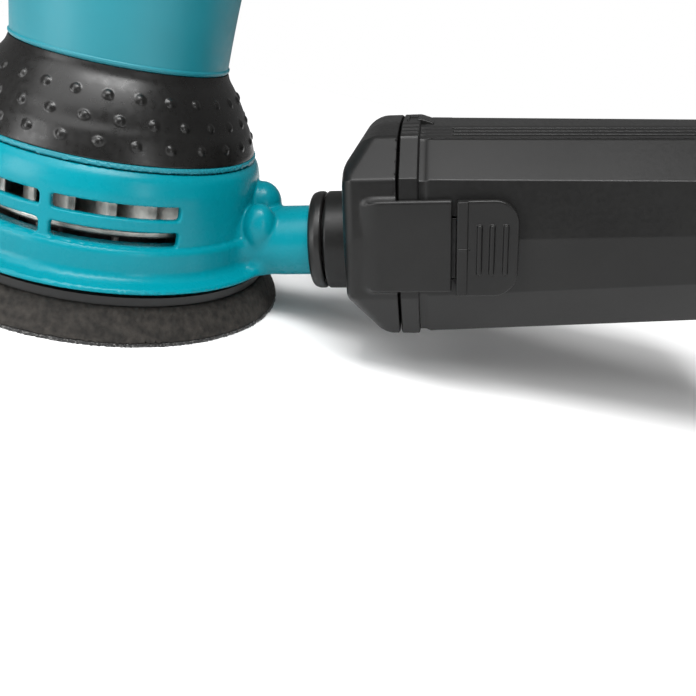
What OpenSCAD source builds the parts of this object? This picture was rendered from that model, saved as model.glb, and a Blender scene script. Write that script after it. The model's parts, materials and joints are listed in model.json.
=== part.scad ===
// Palm-grip random orbital sander with a rigid dust box.
// Origin: on the motor axis, in the plane of the sanding face. +Z is up the motor axis
// and +X points to the dust box. Outlines are [radius, height] unless they say otherwise.

/* [Pad] */
// Diameter of the sanding face
pad_d = 123; // [120:0.5:125]
// Diameter of the foam's top edge
pad_top_d = 111.6; // [108:0.2:114]
// Thickness of the hook face
hook_t = 1; // [0.8:0.1:1.4]
// Height of the foam's top above the sanding face
foam_top = 10.3; // [9.8:0.1:10.6]
// Number of dust holes
dust_hole_count = 8; // [6:1:10]
// Diameter of the dust holes' circle
dust_hole_pcd = 65; // [60:1:70]
// Diameter of one dust hole
dust_hole_d = 10; // [8:0.5:11]
// Offset of the pad's axis from the motor axis, half of the orbit's diameter
orbit_r = 1.4; // [0.8:0.1:1.6]

/* [Body] */
// Radius of the barrel at its waist, just above the rubber ring
waist_r = 33.3; // [33:0.1:34]
// Largest radius of the rubber ring
ring_r = 45.5; // [45:0.1:45.8]
// Radius of the base housing's bottom lip
lip_r = 57; // [56:0.2:58]
// Height of the base housing's bottom edge
lip_z = 15.4; // [15.2:0.1:15.8]
// Overall height
overall_h = 153; // [152:0.5:155]
// Angle that each cooling slot spans
slot_span = 43.5; // [30:0.5:44]

/* [Dust nozzle] */
// Rise of the nozzle towards the dust box, in degrees
nozzle_tilt = 14.8; // [14:0.2:15.2]
// Height at which the nozzle's axis crosses the motor axis
nozzle_h = 10.2; // [9.8:0.1:10.6]
// Outer radius of the nozzle
nozzle_r = 11.6; // [11.2:0.1:12]
// Distance of the nozzle's mouth from the motor axis
nozzle_end = 104; // [102:0.5:104]

/* [Dust box] */
// Radius of the round collar and of its rubber seal
collar_r = 16.2; // [15.8:0.1:16.8]
// Distance of the box's closed end from the motor axis, along the nozzle
box_end = 231.5; // [225:0.5:240]
// Draft of the box over its whole length, on each side
box_draft = 4; // [2:0.5:5]
// Wall thickness of the dust box and its cap
box_wall = 2.2; // [1.8:0.1:2.6]

/* [Motor] */
// Radius of the armature core
armature_r = 17; // [16:0.5:17]
// Number of cooling fan blades
blade_count = 22; // [12:1:24]

/* [Hidden] */
$fn = 96;
eps = 0.01;
fit_gap = 0.05;        // radial clearance of a running fit
part_gap = 0.4;        // gap between bodies that move past each other

// Pad and eccentric
plate_top = 13;
plate_r = 54.5;
screw_recess_r = 8;
pad_screw_r = 4;
spindle_r = 7.5 - fit_gap;
pad_bearing_r = 14;
hub_r = 18;
hub_bottom = 15.7;
disc_z = 27.6;         // underside of the fan's disc
disc_t = 2.2;
fan_r = 42.5;

// Base housing
base_top = 48.6;
deck_t = 3;
floor_top = 27;
slot_rows = [[27.3, 31.9], [35.6, 39.7]];
slot_start = 1.9;      // angle from the middle of the side to each slot's end
seat_r = lip_r - 5.5;  // outside of the brake ring
screw_circle_r = 34.5;
lobes = [[51, -4, 32.4, 6.8], [50.6, 3.6, 36.4, 7]];

// Motor housing, and the outline that it shares with the rubber ring over it
barrel_bore_r = 30.2;
barrel_top = 128.2;
ring_bottom = 50.6;
ring_top = 74.4;
bell = [[ring_r - 2.1, ring_bottom], [42.9, 52.5], [41.9, 55.5], [39.3, 61],
    [36.3, 66.2], [33.2, 71.2], [waist_r - 1.1, ring_top]];
head_circle_r = 31.5;
bearing_h = [[49, 58], [133.6, 140.6]];     // lower and upper ball bearings
shaft_r = [6, 5, 4];                        // at the fan, the core and the commutator

// Electrical parts
core_z = [70, 104];
coil_r = [19.3, 25.2];
coil_half_angle = 58;
coil_leg = 16;                              // angle of a coil's straight side
brush_z = 118;
commutator_r = 11;

// Head
head_z = 128.4;
grip_edge = 140.2;
head_skin = [[39, head_z], [41.4, 132], [42.4, 137], [42.3, grip_edge], [40.8, 145],
    [38, 147.8], [33, 149.3], [0, 150]];
switch_axis = [-41, 0, 134];
switch_rest = -7;                           // the rocker's tilt when it is off
dial_axis = [0, -33.4, 131.6];
dial_r = 10.4;
cord_z = 134.5;
cord_r = 3.6;
clamp_x = 30;

// Dust box: half of its cross-section, in [width, height above the nozzle's axis]
box_front = 104.7;
flange_end = 110.3;
box_half = [[9, 38.4], [22, 36.4], [34.4, 26.6], [36.4, 9.3], [34.4, -7.9], [26.4, -22.4]];
face_half = [[8, 26.5], [20, 24.5], [29, 19], [31, 5], [28, -8], [18, -16]];
cap_front = 89;
cap_rear = 104.3;
box_mid = 8;
bore_r = nozzle_r + fit_gap + 0.02;
bridge_y = [36.3, 38.2];
bridge_z = [-6.2, 21.7];
bridge_end = 119.9;
tab_x = [121.3, 138.6];
latch_axis = [135.6, 32.6];
latch_pin_r = 1.2;
filter_z = 23;

teal = [0.0, 0.42, 0.48];
rubber_black = [0.1, 0.1, 0.1];
box_grey = [0.18, 0.18, 0.18];
steel = [0.7, 0.7, 0.72];

// ---------- helpers ----------

module revolve(outline) {
    rotate_extrude() polygon(outline);
}

module ring(r_in, r_out, z0, z1) {
    difference() {
        translate([0, 0, z0]) cylinder(r = r_out, h = z1 - z0);
        translate([0, 0, z0 - 1]) cylinder(r = r_in, h = z1 - z0 + 2);
    }
}

// A piece of a ring from angle a0, over the angle span
module sector(r_in, r_out, z0, z1, a0, span) {
    rotate([0, 0, a0]) rotate_extrude(angle = span)
        translate([r_in, z0]) square([r_out - r_in, z1 - z0]);
}

module post(x, y, r, z0, z1) {
    translate([x, y, z0]) cylinder(r = r, h = z1 - z0);
}

// A block between two corners
module block(low, high) {
    translate(low) cube(high - low);
}

module round_about(count, start = 0) {
    for (i = [0 : count - 1]) rotate([0, 0, start + i * 360 / count]) children();
}

module on_pad_axis() {
    translate([0, orbit_r, 0]) children();
}

// X runs along the nozzle's axis, from the motor axis
module along_nozzle() {
    translate([0, 0, nozzle_h]) rotate([0, -nozzle_tilt, 0]) children();
}

module nozzle_post(r, x0, x1) {
    translate([x0, 0, 0]) rotate([0, 90, 0]) cylinder(r = r, h = x1 - x0);
}

module both_sides() {
    children();
    mirror([0, 1, 0]) children();
}

module left_side() {
    mirror([0, 1, 0]) children();
}

function shrink(half, d) = [for (p = half) [p.x - d, p.y > box_mid + 4 ? p.y - d
    : p.y < box_mid - 4 ? p.y + d : p.y]];
function whole(half) = concat(half,
    [for (i = [len(half) - 1 : -1 : 0]) [-half[i].x, half[i].y]]);

// A slice of the dust box's cross-section, t thick from x
module slice(x, half, t = 0.1) {
    translate([x, 0, 0]) rotate([90, 0, 90]) linear_extrude(t) polygon(whole(half));
}

module dust_holes(z0, z1) {
    round_about(dust_hole_count, 22.5)
        post(dust_hole_pcd / 2, 0, dust_hole_d / 2, z0 - 1, z1 + 1);
}

// ---------- pad ----------

module hook_face() {
    color(rubber_black) on_pad_axis() difference() {
        ring(screw_recess_r, pad_d / 2, 0, hook_t);
        dust_holes(0, hook_t);
    }
}

module foam_pad() {
    color([0.25, 0.24, 0.22]) on_pad_axis() difference() {
        revolve([[screw_recess_r, hook_t], [pad_d / 2 - 0.2, hook_t],
            [pad_top_d / 2, foam_top], [screw_recess_r, foam_top]]);
        dust_holes(hook_t, foam_top);
    }
}

module backing_plate() {
    color(rubber_black) on_pad_axis() difference() {
        ring(pad_screw_r + 0.2, plate_r, foam_top, plate_top);
        dust_holes(foam_top, plate_top);
    }
}

module pad_washer() {
    color(steel) on_pad_axis() ring(pad_screw_r + 0.15, 7.4, foam_top - 1.6, foam_top);
}

module pad_screw() {
    head = [3.4, foam_top - 1.6];
    color(steel) on_pad_axis() difference() {
        union() {
            post(0, 0, 6.4, head[0], head[1]);
            post(0, 0, pad_screw_r, head[1] - 1, 24);
        }
        translate([0, 0, head[0] - 1]) cylinder(r = 3.4, h = 4, $fn = 6);
    }
}

module pad_spindle() {
    color(steel) on_pad_axis() difference() {
        union() {
            post(0, 0, 11, plate_top, 15);
            post(0, 0, spindle_r, 14, 25.9);
        }
        post(0, 0, pad_screw_r, plate_top - 1, 24);
    }
}

// ---------- rotor ----------

module pad_bearing() {
    color(steel) on_pad_axis() ring(spindle_r + fit_gap, pad_bearing_r, 17.2, 26.4);
}

module bearing_circlip() {
    color(steel) on_pad_axis() sector(12.6, pad_bearing_r, 16.1, 17.1, 15, 330);
}

module eccentric_hub() {
    color([0.6, 0.6, 0.6]) difference() {
        post(0, 0, hub_r, hub_bottom, disc_z);
        on_pad_axis() post(0, 0, pad_bearing_r, hub_bottom - 1, 26.4);
        post(0, 0, shaft_r[0], 20, 30);
    }
}

module counterweight_points() {
    for (a = [-130, -50]) rotate([0, 0, a]) translate([23.5, 0, 0]) children();
}

module counterweight() {
    color([0.45, 0.45, 0.47]) difference() {
        sector(hub_r, 29, 19.5, disc_z, 200, 140);
        counterweight_points() post(0, 0, 1.5, 18, 29);
    }
}

module counterweight_screws() {
    color(steel) counterweight_points() {
        post(0, 0, 3, 17.7, 19.5);
        post(0, 0, 1.5, 19, disc_z);
    }
}

module cooling_fan() {
    blade_t = 1.6;
    color([0.75, 0.73, 0.7]) difference() {
        union() {
            post(0, 0, fan_r, disc_z, disc_z + disc_t);
            post(0, 0, 12, disc_z, 36);
            round_about(blade_count) translate([0, 0, disc_z + disc_t - eps])
                block([22, -blade_t / 2, 0], [fan_r - 0.8, blade_t / 2, 11.4]);
            round_about(blade_count / 2) block([31, -blade_t / 2, 19],
                [fan_r - 1.5, blade_t / 2, disc_z + eps]);
        }
        post(0, 0, shaft_r[0], disc_z - 1, 40);
    }
}

module motor_shaft() {
    color(steel) {
        post(0, 0, shaft_r[0], 26.4, 61.5);
        post(0, 0, shaft_r[1], 61.4, 112);
        post(0, 0, shaft_r[2], 111.9, 141.6);
    }
}

module armature_core() {
    color([0.5, 0.5, 0.52]) difference() {
        ring(shaft_r[1], armature_r, core_z[0] + 2, core_z[1] - 2);
        round_about(12) block([13, -1, core_z[0]], [18, 1, core_z[1]]);
    }
}

module armature_windings() {
    color([0.72, 0.35, 0.15]) {
        ring(shaft_r[1], armature_r - 1.2, core_z[0] - 4.5, core_z[0] + 2);
        ring(shaft_r[1], armature_r - 1.2, core_z[1] - 2, core_z[1] + 4.5);
    }
}

module commutator() {
    color([0.75, 0.45, 0.25]) difference() {
        ring(shaft_r[2], commutator_r, 113, 122.5);
        round_about(12) block([9.5, -0.3, 112], [12, 0.3, 124]);
    }
}

// ---------- base ----------

// The room for the fan above the floor, and for dust below it
module base_rooms() {
    revolve([[0, floor_top], [46.9, floor_top], [46.4, 41], [44.2, base_top - deck_t],
        [0, base_top - deck_t]]);
    revolve([[0, 10], [seat_r, 10], [seat_r, 16.8], [48.6, 18.2], [47.2, 25.2], [0, 25.2]]);
    post(0, 0, fan_r + 0.8, 20, floor_top + 1);
    post(0, 0, 30.5, 40, base_top + 1);
}

module base_skin() {
    flare_r = 3.2;
    flare = [for (a = [90 : -15 : 0]) [lip_r - 2.6 - flare_r * cos(a),
        lip_z + 5.2 - flare_r * sin(a)]];
    revolve(concat([[0, lip_z], [lip_r, lip_z], [lip_r, lip_z + 1], [lip_r - 0.8, lip_z + 1.8]],
        flare, [[50.8, 25], [50.4, 26.4], [49.5, 27.2], [48.9, 41], [47.2, 47], [46, base_top],
        [0, base_top]]));
}

module slot_cuts() {
    for (side = [-90, 90])
        for (row = slot_rows) {
            sector(44, 53, row[0], row[1], side + slot_start, slot_span);
            sector(44, 53, row[0], row[1], side - slot_start - slot_span, slot_span);
        }
}

// The nozzle's bore, widening into the base below the floor
module duct() {
    root_x = 51;
    duct_floor = lip_z + 2;
    intersection() {
        along_nozzle() nozzle_post(nozzle_r - 2.4, root_x, nozzle_end + 1);
        block([40, -20, duct_floor], [120, 20, 60]);
    }
    intersection() {
        along_nozzle() nozzle_post(nozzle_r - 2.4, 40, root_x + 1);
        block([40, -20, duct_floor], [60, 20, 25.2]);
    }
}

module base_housing() {
    color(teal) difference() {
        base_skin();
        base_rooms();
        slot_cuts();
        post(0, 0, 61.5, 0, lip_z);
        duct();
        round_about(4, 45) post(screw_circle_r, 0, 2, 40, base_top + 1);
    }
}

// The nozzle with its flared root and two lobes, outside the base's skin
module dust_nozzle() {
    color(teal) difference() {
        union() {
            along_nozzle() nozzle_post(nozzle_r, 48, nozzle_end);
            along_nozzle() translate([46, 0, 0]) rotate([0, 90, 0])
                cylinder(r1 = nozzle_r + 4, r2 = nozzle_r, h = 13);
            for (p = lobes) translate([p[0], p[1], p[2]]) sphere(r = p[3]);
        }
        base_skin();
        post(0, 0, 61.5, 0, lip_z);
        duct();
    }
}

module brake_ring() {
    color(rubber_black) revolve([[seat_r - 4.2, 13.4], [seat_r - 0.6, 13.4],
        [seat_r - 0.02, lip_z], [seat_r - 0.02, 16.6], [seat_r - 2.7, 16.6],
        [seat_r - 2.7, lip_z], [seat_r - 4.2, 15]]);
}

module bearing_box() {
    bearing_r = 14;
    color([0.72, 0.72, 0.7]) difference() {
        revolve([[bearing_r, base_top], [bearing_r, bearing_h[0][1]], [9, bearing_h[0][1]],
            [9, 60.4], [17, 60.4], [17, 51.2], [41.8, 51.2], [41.8, base_top]]);
        for (i = [0 : 5]) sector(20, 29.5, 48, 52, i * 60 + 8, 44);
        round_about(4, 45) post(screw_circle_r, 0, 1.75, 48, 52);
        round_about(3) post(15.5, 0, 1.25, 48, 54);
    }
}

module bearing_retainer() {
    color(steel) difference() {
        ring(8, 18.5, 46.6, base_top);
        round_about(3) post(15.5, 0, 1.25, 46, 49);
    }
}

module retainer_screws() {
    color(steel) round_about(3) {
        post(15.5, 0, 2.4, 45, 46.6);
        post(15.5, 0, 1.25, 46.5, 54);
    }
}

module base_screws() {
    color(steel) round_about(4, 45) {
        post(screw_circle_r, 0, 3.6, 42.6, base_top - deck_t);
        post(screw_circle_r, 0, 1.75, 45, 60);
    }
}

module lower_bearing() {
    color(steel) ring(shaft_r[0] + fit_gap, 14, bearing_h[0][0], bearing_h[0][1]);
}

module upper_bearing() {
    color(steel) ring(shaft_r[2] + fit_gap, 11, bearing_h[1][0], bearing_h[1][1]);
}

// ---------- motor housing ----------

module motor_housing() {
    flange = [[42.1, base_top + part_gap], [46.1, base_top + part_gap], [46.1, 50.4]];
    barrel = [[waist_r, ring_top], [waist_r + 0.3, ring_top + 0.2], [waist_r + 0.3, 76.2],
        [waist_r - 0.1, 76.4], [waist_r + 1, 97], [36, 115], [39, barrel_top]];
    inside = [[36.6, barrel_top], [33.6, 115], [barrel_bore_r + 1.7, 97],
        [barrel_bore_r, 90], [barrel_bore_r, 66.5], [33.6, 62], [37, 57.5], [39.4, 53],
        [40.4, 51.4], [42.1, 51.4]];
    color(teal) difference() {
        union() {
            revolve(concat(flange, bell, barrel, inside));
            round_about(4, 45) post(screw_circle_r, 0, 3.6, 51.3, 61);
            round_about(4, 45) post(head_circle_r, 0, 4, 117, barrel_top);
            round_about(4, 45) block([12.8, -2.5, 124.6], [33, 2.5, barrel_top]);
            ring(11, 14, 124.6, 140.8);
            both_sides() translate([0, -30.6, brush_z]) rotate([90, 0, 0])
                cylinder(r = 8.6, h = 5);
            block([25, -10.5, 126], [35.8, 10.5, barrel_top]);
            for (y = [-7, 7]) post(clamp_x, y, 3, 127, 138.2);
        }
        round_about(4, 45) post(screw_circle_r, 0, 1.75, 50, 60);
        round_about(4, 45) post(head_circle_r, 0, 2, 118, 130);
        both_sides() translate([0, -30, brush_z]) rotate([90, 0, 0])
            cylinder(r = 6.4, h = 9);
        for (y = [-7, 7]) post(clamp_x, y, 1.4, 129, 139);
    }
}

module grip_ring() {
    skin = [[waist_r + 0.1, ring_top], [34.4, 71.9], [36.4, 69.2], [38.3, 66.3],
        [40.1, 63.2], [41.6, 60.1], [43.1, 57.4], [44.3, 54.4], [ring_r - 0.1, 51.2],
        [ring_r, ring_bottom]];
    color(rubber_black) revolve(concat(bell, skin));
}

module baffle_ring() {
    color(rubber_black) revolve([[19.6, 62.2], [33.3, 62.2], [31.8, 64.2], [19.6, 64.2]]);
}

module stator_core() {
    room = 0.2;
    color([0.5, 0.5, 0.52]) difference() {
        ring(armature_r + 0.6, barrel_bore_r, core_z[0], core_z[1]);
        for (a = [90, 270])
            for (end = [-coil_half_angle, coil_half_angle - coil_leg])
                sector(coil_r[0] - room, coil_r[1] + room, core_z[0] - 1, core_z[1] + 1,
                    a + end - 0.6, coil_leg + 1.2);
        round_about(4, 45) block([29, -12, core_z[0] - 1], [33, 12, core_z[1] + 1]);
    }
}

module field_coils() {
    head = 5.1;
    gap = 2 * (coil_half_angle - coil_leg);
    color([0.72, 0.35, 0.15]) for (a = [90, 270]) difference() {
        sector(coil_r[0], coil_r[1], core_z[0] - head, core_z[1] + head,
            a - coil_half_angle, 2 * coil_half_angle);
        sector(coil_r[0] - 1, coil_r[1] + 1, core_z[0] - 0.3, core_z[1] + 0.3,
            a - gap / 2, gap);
    }
}

module brush_holders() {
    color([0.75, 0.6, 0.25]) both_sides() difference() {
        block([-4.8, -30.5, brush_z - 5.5], [4.8, -12.5, brush_z + 5.5]);
        block([-3.2, -31, brush_z - 4.1], [3.2, -12, brush_z + 4.1]);
    }
}

module carbon_brushes() {
    color([0.15, 0.15, 0.15]) both_sides()
        block([-3.15, -22, brush_z - 4.05], [3.15, -commutator_r - 0.1, brush_z + 4.05]);
}

module brush_springs() {
    color(steel) both_sides() translate([0, -22, brush_z]) rotate([90, 0, 0])
        ring(1.9, 2.6, 0, 8.6);
}

module brush_caps() {
    color(rubber_black) both_sides() translate([0, -30.6, brush_z]) rotate([90, 0, 0])
        difference() {
            cylinder(r = 6.4, h = 6);
            block([-5, -0.7, 5], [5, 0.7, 7]);
        }
}

// ---------- head ----------

module head_shell() {
    inner = [[36.6, head_z], [39, 132], [40, 137], [39.9, 140.4], [38.4, 144],
        [35.8, 146], [32.4, 147], [0, 147.6]];
    vent_z = [130.5, 138.5];
    color([0.12, 0.12, 0.13]) difference() {
        union() {
            difference() {
                revolve(concat([[0, head_z]], head_skin));
                revolve(concat([[0, head_z - 1], [inner[0].x, head_z - 1]], inner));
            }
            round_about(4, 45) post(head_circle_r, 0, 4, head_z, 148);
            block([-45, -10.5, 128.5], [-38, 10.5, 139.6]);
        }
        block([-46, -7, 129.6], [-30, 7, 138.4]);
        round_about(4, 45) post(head_circle_r, 0, 2.1, head_z - 1, 152);
        round_about(4, 45) post(head_circle_r, 0, 3.9, 147.2, 152);
        block([-9.8, -46, dial_axis.z - part_gap], [9.8, -36, dial_axis.z + 4.8]);
        translate([30, 0, cord_z]) rotate([0, 90, 0]) cylinder(r = 5.05, h = 20);
        for (side = [-1, 1])
            for (a = [118 : 8 : 150])
                rotate([0, 0, side * a]) block([37, -1, vent_z[0]], [46, 1, vent_z[1]]);
    }
}

module palm_grip() {
    skin = [[0, overall_h], [20, overall_h - 0.4], [33.5, 151.4], [38.8, 149.4],
        [42, 146], [43.6, 142], [43.2, grip_edge]];
    under = [for (i = [3 : len(head_skin) - 1]) head_skin[i]];
    color(rubber_black) revolve(concat(under, skin));
}

module head_screws() {
    color(steel) round_about(4, 45) {
        post(head_circle_r, 0, 3.6, 147.2, 148.4);
        post(head_circle_r, 0, 2, 118, 147.3);
    }
}

module switch_body() {
    color([0.2, 0.2, 0.2]) block([-36.4, -8, 129.8], [-22, 8, 141]);
}

module switch_rocker() {
    color([0.08, 0.08, 0.08]) translate(switch_axis) rotate([0, switch_rest, 0]) {
        rotate([90, 0, 0]) cylinder(r = 4.1, h = 13.2, center = true);
        block([-5.4, -6.6, -3], [0, 6.6, 3]);
    }
}

module speed_board() {
    color([0.1, 0.4, 0.2]) {
        block([-9, -35.5, 129.4], [9, -20, 130.8]);
        post(dial_axis.x, dial_axis.y, 2, 130.7, 136);
    }
}

module speed_dial() {
    notch_r = 0.8;
    color([0.85, 0.85, 0.85]) translate([dial_axis.x, dial_axis.y, 0]) difference() {
        ring(2 + fit_gap, dial_r, dial_axis.z, dial_axis.z + 4.4);
        round_about(30) post(dial_r + 0.3, 0, notch_r, dial_axis.z - 1, dial_axis.z + 6);
    }
}

module cord_gland() {
    color(rubber_black) translate([0, 0, cord_z]) rotate([0, 90, 0])
        revolve([[cord_r, 34.8], [5.6, 34.8], [5.6, 36.4], [5, 36.4], [5, 42.8],
            [5.6, 42.8], [5.2, 48], [cord_r, 48]]);
}

module cord_clamp() {
    color(rubber_black) difference() {
        block([clamp_x - 3, -10, 138.2], [clamp_x + 3, 10, 141]);
        for (y = [-7, 7]) post(clamp_x, y, 1.4, 137, 142);
    }
}

module clamp_screws() {
    color(steel) for (y = [-7, 7]) {
        post(clamp_x, y, 2.6, 141, 142.8);
        post(clamp_x, y, 1.4, 129, 141.1);
    }
}

// ---------- dust cap ----------

module nozzle_seal() {
    color(rubber_black) along_nozzle() rotate([0, 90, 0])
        revolve([[bore_r, 74], [14.6, 74], [collar_r - 0.5, 75], [collar_r, 76.6],
            [collar_r, 78.6], [13.2, 78.6], [13.2, 75.6], [bore_r, 75.6]]);
}

// The cap's bridge over one latch
module latch_bridge() {
    block([99, -bridge_y[1], bridge_z[0]], [cap_rear, -30, bridge_z[1]]);
    block([cap_rear - eps, -bridge_y[1], bridge_z[0]], [bridge_end, -bridge_y[0], bridge_z[1]]);
    hull() {
        block([98.5, -bridge_y[1], bridge_z[0]], [100, -30, bridge_z[1]]);
        block([91, -30.5, bridge_z[0]], [92, -26, bridge_z[1]]);
    }
}

module dust_cap() {
    color(box_grey) along_nozzle() difference() {
        union() {
            difference() {
                union() {
                    hull() {
                        slice(cap_front, face_half);
                        slice(98.8, shrink(box_half, -0.2));
                        slice(cap_rear - 0.1, shrink(box_half, -0.4));
                    }
                    both_sides() latch_bridge();
                }
                hull() {
                    slice(cap_front + box_wall, shrink(face_half, 1));
                    slice(98.8, shrink(box_half, 2));
                    slice(cap_rear, shrink(box_half, 1.8));
                }
            }
            nozzle_post(collar_r, 79.2, cap_front + 1);
            nozzle_post(13.2, 75.6, 106);
        }
        nozzle_post(bore_r, 70, 107);
    }
}

module filter_frame() {
    color(box_grey) along_nozzle() difference() {
        block([cap_front + box_wall + 2, -18, filter_z], [214, 18, filter_z + 2.5]);
        block([122, -14, filter_z - 1], [210, 14, filter_z + 4]);
    }
}

module pleated_filter() {
    pleat = 4;
    count = 21;
    top = [for (i = [0 : 2 * count]) [124 + i * pleat / 2, i % 2 == 0 ? 0.8 : 4.4]];
    under = [for (i = [2 * count : -1 : 0]) [top[i].x, top[i].y - 0.7]];
    color([0.85, 0.82, 0.74]) along_nozzle()
        translate([0, 13.8, filter_z]) rotate([90, 0, 0])
            linear_extrude(27.6) polygon(concat(top, under));
}

// ---------- dust box ----------

module box_skin() {
    slice(box_front, shrink(box_half, -0.5), flange_end - box_front);
    hull() {
        slice(flange_end - 0.5, box_half);
        slice(box_end - 2.5, shrink(box_half, box_draft));
        slice(box_end - 0.1, shrink(box_half, box_draft + 2));
    }
}

module box_room() {
    hull() {
        slice(box_front - 1, shrink(box_half, box_wall - 0.5));
        slice(box_end - box_wall - 0.5, shrink(box_half, box_draft + box_wall));
    }
}

// Outline of a latch's thumb tab, grown by a gap, with two round corners at its rear
module tab_outline(gap = 0) {
    low = -6.6 - gap;
    high = 21.4 + gap;
    front = tab_x[0] - 3 * gap;
    corner = 7 + gap;
    corner_x = tab_x[1] + gap - corner;
    translate([front, low]) square([corner_x - front, high - low]);
    translate([front, low + corner])
        square([tab_x[1] + gap - front, high - low - 2 * corner]);
    for (z = [low + corner, high - corner]) translate([corner_x, z]) circle(r = corner);
}

// The pads of extra wall inside the box that carry the latches' pins
module latch_pads() {
    block([108, -33.4, -8], [141, -27.6, 23]);
}

module latch_pockets() {
    block([110.5, -40, -3.5], [139, -29.9, 18.5]);
    translate([0, -34.2, 0]) rotate([90, 0, 0]) linear_extrude(6) tab_outline(0.5);
    block([box_front - 1, -40, -7], [120, -35.9, 22.5]);
}

module dust_box_shell() {
    color(box_grey) along_nozzle() difference() {
        box_skin();
        difference() {
            box_room();
            both_sides() latch_pads();
        }
        both_sides() latch_pockets();
        both_sides() translate([latch_axis.x, -latch_axis.y, -6])
            cylinder(r = latch_pin_r, h = 27);
        both_sides() for (y = [12, 15.4, 18.8])
            block([119, -y - 0.6, 28], [224, -y + 0.6, 40]);
    }
}

module latch_pins() {
    color(steel) along_nozzle() both_sides()
        translate([latch_axis.x, -latch_axis.y, -6]) cylinder(r = latch_pin_r, h = 27);
}

module latch_spring() {
    color(steel) translate([128.5, -29.9, 7.5]) rotate([90, 0, 0]) ring(1.6, 2.2, 0, 6.3);
}

module right_latch_spring() {
    along_nozzle() latch_spring();
}

module left_latch_spring() {
    along_nozzle() left_side() latch_spring();
}

module latch() {
    tab_y = [36.2, 38.4];
    color(box_grey) difference() {
        union() {
            translate([0, -tab_y[0], 0]) rotate([90, 0, 0])
                linear_extrude(tab_y[1] - tab_y[0]) tab_outline();
            block([tab_x[0], -38.8, -6.6], [tab_x[0] + 3, -38, 21.4]);
            for (x = [127.6, 131.1, 134.9]) block([x - 0.6, -39.1, 0], [x + 0.6, -38, 14.5]);
            translate([latch_axis.x, -latch_axis.y, -3]) cylinder(r = 2.3, h = 21);
            block([134, -36.6, -3], [137.2, -34.4, 18]);
            block([tab_x[0], -36.6, -2], [124, -34.3, 17]);
            block([112, -35.7, -2], [122, -34.3, 17]);
        }
        translate([latch_axis.x, -latch_axis.y, -8])
            cylinder(r = latch_pin_r + fit_gap, h = 32);
    }
}

module right_latch() {
    along_nozzle() latch();
}

module left_latch() {
    along_nozzle() left_side() latch();
}

motor_housing();
grip_ring();
base_housing();
dust_nozzle();
brake_ring();
bearing_box();
bearing_retainer();
retainer_screws();
base_screws();
baffle_ring();
stator_core();
field_coils();
brush_holders();
carbon_brushes();
brush_springs();
brush_caps();
lower_bearing();
upper_bearing();
head_shell();
palm_grip();
head_screws();
switch_body();
speed_board();
cord_gland();
cord_clamp();
clamp_screws();
motor_shaft();
armature_core();
armature_windings();
commutator();
cooling_fan();
eccentric_hub();
counterweight();
counterweight_screws();
pad_bearing();
bearing_circlip();
pad_spindle();
backing_plate();
foam_pad();
hook_face();
pad_washer();
pad_screw();
switch_rocker();
speed_dial();
dust_cap();
nozzle_seal();
filter_frame();
pleated_filter();
dust_box_shell();
latch_pins();
left_latch_spring();
right_latch_spring();
left_latch();
right_latch();
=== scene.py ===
"""Palm-grip orbital sander with a rigid dust box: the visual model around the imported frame.

Lengths are millimetres in the object's frame until a mesh is made. Most mouldings are implicit
shapes: a field function gives the signed distance to the surface, negative inside, and surface()
turns it into a mesh of even quads. Turned parts are lathed from an outline.
"""

import json
import math

import bmesh
import bpy
import numpy as np
from mathutils import Matrix, Vector


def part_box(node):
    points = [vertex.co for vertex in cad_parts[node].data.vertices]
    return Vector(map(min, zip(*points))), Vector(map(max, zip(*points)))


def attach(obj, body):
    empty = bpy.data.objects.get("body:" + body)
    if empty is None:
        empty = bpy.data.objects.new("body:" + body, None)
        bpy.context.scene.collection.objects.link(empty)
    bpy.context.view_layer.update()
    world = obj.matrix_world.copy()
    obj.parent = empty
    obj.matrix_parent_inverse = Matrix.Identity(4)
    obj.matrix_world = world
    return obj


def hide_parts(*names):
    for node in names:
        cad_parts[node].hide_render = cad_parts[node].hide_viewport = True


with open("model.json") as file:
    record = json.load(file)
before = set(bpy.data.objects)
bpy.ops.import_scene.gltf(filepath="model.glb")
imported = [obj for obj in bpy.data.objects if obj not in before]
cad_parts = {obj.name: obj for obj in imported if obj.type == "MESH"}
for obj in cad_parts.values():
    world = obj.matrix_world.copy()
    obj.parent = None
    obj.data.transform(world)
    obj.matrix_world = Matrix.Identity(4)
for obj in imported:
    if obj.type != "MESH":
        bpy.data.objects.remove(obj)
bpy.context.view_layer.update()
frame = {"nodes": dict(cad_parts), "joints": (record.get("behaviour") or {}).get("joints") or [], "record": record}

MM = 0.001
rng = np.random.default_rng(7)


def top_of(node):
    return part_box(node)[1].z / MM


def bottom_of(node):
    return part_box(node)[0].z / MM


def radius_of(node):
    low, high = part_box(node)
    return (high.y - low.y) / 2 / MM


# ---------- sizes taken from the frame ----------

JOINTS = {joint["name"]: joint for joint in frame["joints"]}
PULL_AXIS = JOINTS["nozzle_pull"]["axis"]
NOZZLE_TILT = math.atan2(PULL_AXIS[2], PULL_AXIS[0])
NOZZLE_H = 10.2
PAD_Y = JOINTS["pad_spin"]["pos_m"][1] / MM
PAD_R = radius_of("hook_face")
HOOK_T = top_of("hook_face")
FOAM_TOP = top_of("foam_pad")
LIP_R = 57.0
LIP_Z = bottom_of("base_housing")
BASE_TOP = top_of("base_housing")
OVERALL_H = top_of("palm_grip")
NOZZLE_R = 11.6
NOZZLE_END = 104.0
COLLAR_R = radius_of("nozzle_seal")
BOX_FRONT = 104.7
FLANGE_END = 110.3
BOX_END = 231.5
BOX_DRAFT = 4.0
BOX_WALL = 2.2
SWITCH_AXIS = [v / MM for v in JOINTS["switch_rock"]["pos_m"]]
DIAL_Y = JOINTS["speed_turn"]["pos_m"][1] / MM


# ---------- implicit shapes ----------

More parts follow.
